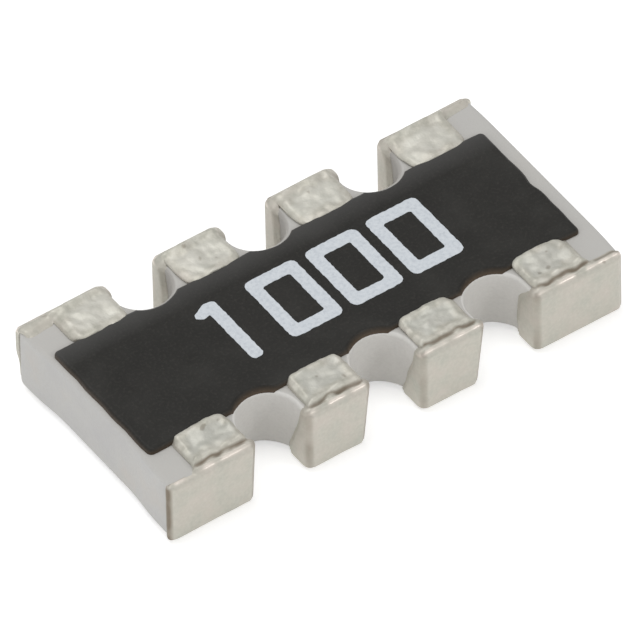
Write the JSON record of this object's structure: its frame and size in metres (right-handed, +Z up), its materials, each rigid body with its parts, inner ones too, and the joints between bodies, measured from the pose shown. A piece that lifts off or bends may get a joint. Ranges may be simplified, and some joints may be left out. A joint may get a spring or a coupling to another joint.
{
  "type": "chip resistor array",
  "caption": "Flat ceramic chip with isolated thick-film resistors under a dark overcoat and plated solder terminals that stand out between notches along both long sides.",
  "frame": {"origin": "middle of the chip in the plane of its solder lands", "axes": "+X along the chip, +Y across it towards the rear terminals, +Z up from the lands to the overcoat"},
  "size_m": [0.0032, 0.0016, 0.0005],
  "materials": {
    "ceramic": "matte fired alumina",
    "tin": "matte tin plating",
    "overcoat": "satin resin",
    "silver": "fired silver print",
    "resistive_film": "fired film",
    "primary_glass": "fired glass",
    "marking_ink": "printed ink"
  },
  "bodies": {
    "root": {"substrate": "ceramic", "overcoat": "overcoat", "bottom_electrode_1": "silver", "bottom_electrode_2": "silver", "bottom_electrode_3": "silver", "bottom_electrode_4": "silver", "bottom_electrode_5": "silver", "bottom_electrode_6": "silver", "bottom_electrode_7": "silver", "bottom_electrode_8": "silver", "top_electrode_1": "silver", "top_electrode_2": "silver", "top_electrode_3": "silver", "top_electrode_4": "silver", "top_electrode_5": "silver", "top_electrode_6": "silver", "top_electrode_7": "silver", "top_electrode_8": "silver", "resistor_1": "resistive_film", "resistor_2": "resistive_film", "resistor_3": "resistive_film", "resistor_4": "resistive_film", "glass_coat_1": "primary_glass", "glass_coat_2": "primary_glass", "glass_coat_3": "primary_glass", "glass_coat_4": "primary_glass", "terminal_1": "tin", "terminal_2": "tin", "terminal_3": "tin", "terminal_4": "tin", "terminal_5": "tin", "terminal_6": "tin", "terminal_7": "tin", "terminal_8": "tin"}
  },
  "joints": []
}
